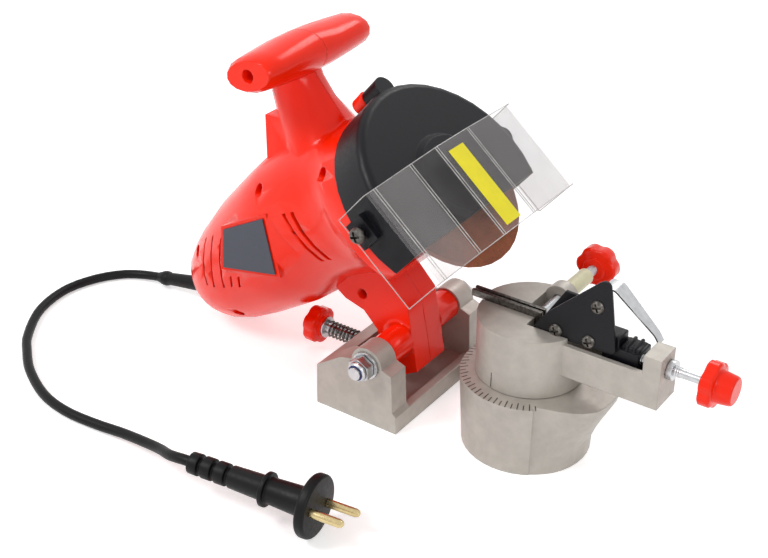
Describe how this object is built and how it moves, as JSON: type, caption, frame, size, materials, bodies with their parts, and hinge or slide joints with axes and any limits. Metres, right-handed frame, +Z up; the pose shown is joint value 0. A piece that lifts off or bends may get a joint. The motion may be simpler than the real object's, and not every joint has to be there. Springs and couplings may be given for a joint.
{
  "type": "electric chainsaw sharpener",
  "caption": "Bench chainsaw sharpener: belt-driven disc head rocking on a cast base, with guard, clear visor, swivelling chain vise, depth stop and a cord with plug.",
  "frame": {"origin": "on the bench face, under the middle of the bolt that the motor head rocks on", "axes": "+Z up; +X from the hinge to the chain vise; +Y along the hinge bolt, away from the label"},
  "size_m": [0.454, 0.232, 0.2086],
  "materials": {
    "red_abs": "gloss moulded ABS",
    "black_plastic": "satin moulded nylon",
    "cast_metal": "tumbled die casting",
    "zinc": "bright zinc plated steel",
    "dark_steel": "blackened steel",
    "clear_sheet": "clear polycarbonate sheet",
    "abrasive": "bonded abrasive grit",
    "rubber": "black PVC",
    "label": "bare grey plate",
    "blue_nylon": "nylon ring",
    "cream_sleeve": "plain moulded sleeve",
    "copper": "copper segments and windings",
    "laminate": "stacked steel sheets",
    "brass": "bright brass"
  },
  "bodies": {
    "base": {"base_casting": "cast_metal", "hinge_bolt": "zinc", "hinge_washer": "zinc", "hinge_lock_nut": "zinc", "nut_ring": "blue_nylon", "swivel_bolt": "zinc", "depth_spring": "dark_steel", "cord": "rubber", "plug_body": "rubber", "plug_pin_near": "brass", "plug_pin_far": "brass"},
    "head": {"housing_near": "red_abs", "housing_far": "red_abs", "housing_screw_tail_top": "dark_steel", "housing_screw_tail_low": "dark_steel", "housing_screw_barrel": "dark_steel", "housing_screw_front": "dark_steel", "housing_screw_leg": "dark_steel", "label_plate": "label", "disc_guard": "black_plastic", "visor_screw_near": "dark_steel", "visor_screw_far": "dark_steel", "motor_stator": "laminate", "brush_near": "brass", "brush_far": "brass", "motor_bearing_rear": "zinc", "motor_bearing_front": "zinc", "drive_bracket": "black_plastic", "bearing_plate": "cast_metal", "spindle_bearing": "zinc", "drive_belt": "rubber", "switch_body": "black_plastic", "cord_sleeve": "rubber"},
    "disc": {"spindle": "zinc", "spindle_pulley": "black_plastic", "grinding_disc": "abrasive", "disc_flange_outer": "zinc", "spindle_nut": "zinc"},
    "armature": {"motor_shaft": "zinc", "armature_core": "copper", "commutator": "copper", "cooling_fan": "black_plastic", "motor_pulley": "zinc"},
    "visor": {"visor": "clear_sheet"},
    "rocker": {"switch_rocker": "black_plastic"},
    "depth_carriage": {"depth_washer": "zinc"},
    "depth_handle": {"depth_screw": "zinc", "depth_knob": "red_abs"},
    "vise": {"turntable": "cast_metal", "rail_fixed": "dark_steel"},
    "jaw": {"rail_moving": "dark_steel"},
    "clamp": {"clamp_screw": "zinc", "clamp_sleeve": "cream_sleeve", "clamp_knob": "red_abs"},
    "slider": {"stop_slider": "black_plastic", "stop_screw": "dark_steel", "stop_strap": "zinc"},
    "stop": {"chain_stop": "black_plastic"},
    "adjuster": {"adjust_screw": "zinc", "adjust_knob": "red_abs"}
  },
  "joints": [
    {"name": "head_tilt", "type": "hinge", "parent": "base", "child": "head", "pos_m": [0, 0, 0.0403], "axis": [0, 1, 0], "range_deg": [0, 15]},
    {"name": "disc_spin", "type": "hinge", "parent": "head", "child": "disc", "pos_m": [-0.03766, 0, 0.07258], "axis": [0.6508, 0, 0.7593], "continuous": true},
    {"name": "motor_spin", "type": "hinge", "parent": "head", "child": "armature", "pos_m": [-0.07107, 0, 0.10121], "axis": [0.6508, 0, 0.7593], "continuous": true},
    {"name": "visor_tilt", "type": "hinge", "parent": "head", "child": "visor", "pos_m": [0.00999, 0, 0.13539], "axis": [0, -1, 0], "range_deg": [-4, 3]},
    {"name": "switch_rock", "type": "hinge", "parent": "head", "child": "rocker", "pos_m": [-0.09612, 0, 0.13941], "axis": [0, 1, 0], "range_deg": [-6, 6]},
    {"name": "depth_slide", "type": "slide", "parent": "base", "child": "depth_carriage", "axis": [1, 0, 0], "range_m": [-0.0049, 0]},
    {"name": "depth_turn", "type": "hinge", "parent": "depth_carriage", "child": "depth_handle", "pos_m": [-0.066, 0, 0.017], "axis": [1, 0, 0], "range_deg": [-1780, 0]},
    {"name": "vise_swivel", "type": "hinge", "parent": "base", "child": "vise", "pos_m": [0.0813, -0.0055, 0.0466], "axis": [0, 0, 1], "range_deg": [-35, 35]},
    {"name": "jaw_slide", "type": "slide", "parent": "vise", "child": "jaw", "axis": [0, -1, 0], "range_m": [-0.00038, 0.00117]},
    {"name": "clamp_turn", "type": "hinge", "parent": "jaw", "child": "clamp", "pos_m": [0.085, 0, 0.0815], "axis": [0, -1, 0], "range_deg": [-110, 340]},
    {"name": "stop_slide", "type": "slide", "parent": "vise", "child": "slider", "axis": [1, 0, 0], "range_m": [-0.00049, 0.0044]},
    {"name": "stop_flip", "type": "hinge", "parent": "slider", "child": "stop", "pos_m": [0.1312, -0.015, 0.086], "axis": [0, 1, 0], "range_deg": [0, 12]},
    {"name": "adjust_turn", "type": "hinge", "parent": "vise", "child": "adjuster", "pos_m": [0.184, -0.01, 0.0803], "axis": [1, 0, 0], "range_deg": [-178, 1600]}
  ],
  "couplings": [
    {"joint": "motor_spin", "follows": "disc_spin", "ratio": 2.25},
    {"joint": "depth_turn", "follows": "depth_slide", "rad_per_m": 6283.2},
    {"joint": "clamp_turn", "follows": "jaw_slide", "rad_per_m": 5026.5},
    {"joint": "adjust_turn", "follows": "stop_slide", "rad_per_m": 6283.2}
  ]
}
